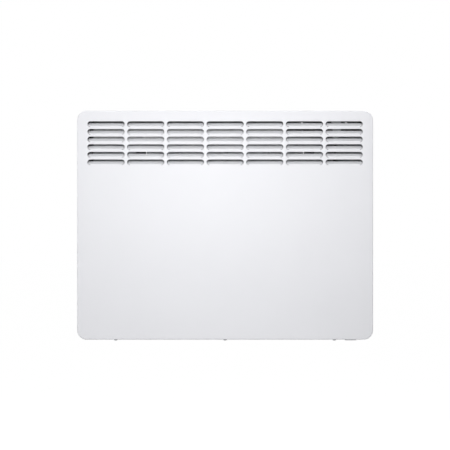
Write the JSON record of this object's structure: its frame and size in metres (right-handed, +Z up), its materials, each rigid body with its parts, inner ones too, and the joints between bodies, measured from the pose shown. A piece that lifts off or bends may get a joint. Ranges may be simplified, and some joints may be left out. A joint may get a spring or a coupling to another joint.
{
  "type": "wall panel convector heater",
  "caption": "Electric wall heater: a louvred white steel hood over a finned element, top control keys, an underside mains rocker, hung on a hooked wall bracket.",
  "frame": {"origin": "on the wall plane, in the middle of the bracket's four wall-screw holes, which is the casing's mid-height and mid-width", "axes": "+X to the viewer's right, +Y from the room into the wall, +Z up; the louvred front faces -Y"},
  "size_m": [0.582, 0.1, 0.4534],
  "materials": {
    "casing_paint": "smooth semi-matt powder coat",
    "screw_steel": "dark zinc",
    "panel_sheet": "galvanised",
    "hex_steel": "zinc plated",
    "shield_sheet": "galvanised",
    "side_coat": "black coated sheet",
    "duct_sheet": "galvanised",
    "guide_sheet": "mill finish",
    "element_alu": "cast and sawn",
    "rod_steel": "heat tinted",
    "bush_ceramic": "unglazed",
    "limiter_case": "moulded with a metal cup",
    "block_plastic": "moulded",
    "stud_brass": "turned",
    "bushing_rubber": "matt",
    "loom_sleeve": "woven sleeve",
    "lead_silicone": "silicone insulation",
    "sensor_plastic": "moulded",
    "sensor_black": "dipped",
    "housing_plastic": "moulded",
    "clip_steel": "bright spring steel",
    "connector_grey": "moulded",
    "board_green": "lacquered board",
    "relay_black": "moulded",
    "supply_case": "moulded",
    "capacitor_sleeve": "shrunk sleeve",
    "display_glass": "dark glass in its frame",
    "bezel_plastic": "fine grain",
    "window_clear": "clear, hard coated",
    "switch_plastic": "moulded",
    "rocker_plastic": "moulded",
    "bracket_coat": "black coat, worn bright on the hooks",
    "key_plastic": "fine grain"
  },
  "bodies": {
    "wall_bracket": {"bracket_upright_left": "bracket_coat", "bracket_upright_right": "bracket_coat", "bracket_crossbar_upper": "bracket_coat", "bracket_crossbar_lower": "bracket_coat"},
    "heater": {"front_casing": "casing_paint", "casing_screws": "screw_steel", "rear_panel": "panel_sheet", "hex_screws": "hex_steel", "rear_heat_shield": "shield_sheet", "end_plate": "side_coat", "side_partition": "side_coat", "air_baffle": "duct_sheet", "air_guide": "guide_sheet", "element_body": "element_alu", "element_rod": "rod_steel", "ceramic_bushes": "bush_ceramic", "overheat_limiter": "limiter_case", "terminal_block": "block_plastic", "earth_stud": "stud_brass", "cable_bushing": "bushing_rubber", "supply_loom": "loom_sleeve", "switch_loom": "loom_sleeve", "element_leads": "lead_silicone", "sensor_holder": "sensor_plastic", "room_sensor": "sensor_black", "sensor_lead": "sensor_black", "control_housing": "housing_plastic", "housing_clips": "clip_steel", "control_connector": "connector_grey", "control_board": "board_green", "relay": "relay_black", "power_supply": "supply_case", "board_capacitor": "capacitor_sleeve", "display": "display_glass", "key_switches": "relay_black", "control_bezel": "bezel_plastic", "display_window": "window_clear", "switch_body": "switch_plastic"},
    "rocker": {"rocker_switch": "rocker_plastic"},
    "key_menu_cap": {"key_menu": "key_plastic"},
    "key_plus_cap": {"key_plus": "key_plastic"},
    "key_ok_cap": {"key_ok": "key_plastic"},
    "key_minus_cap": {"key_minus": "key_plastic"}
  },
  "joints": [
    {"name": "lift_off", "type": "slide", "parent": "wall_bracket", "child": "heater", "axis": [0, 0, 1], "range_m": [0, 0.008]},
    {"name": "mains_rocker", "type": "hinge", "parent": "heater", "child": "rocker", "pos_m": [0.247, -0.073, -0.2215], "axis": [1, 0, 0], "range_deg": [0, 10]},
    {"name": "key_menu_press", "type": "slide", "parent": "heater", "child": "key_menu_cap", "axis": [0, 0, -1], "range_m": [0, 0.0008], "stiffness_N_per_m": 400, "springref_m": -0.0005},
    {"name": "key_plus_press", "type": "slide", "parent": "heater", "child": "key_plus_cap", "axis": [0, 0, -1], "range_m": [0, 0.0008], "stiffness_N_per_m": 400, "springref_m": -0.0005},
    {"name": "key_ok_press", "type": "slide", "parent": "heater", "child": "key_ok_cap", "axis": [0, 0, -1], "range_m": [0, 0.0008], "stiffness_N_per_m": 400, "springref_m": -0.0005},
    {"name": "key_minus_press", "type": "slide", "parent": "heater", "child": "key_minus_cap", "axis": [0, 0, -1], "range_m": [0, 0.0008], "stiffness_N_per_m": 400, "springref_m": -0.0005}
  ]
}
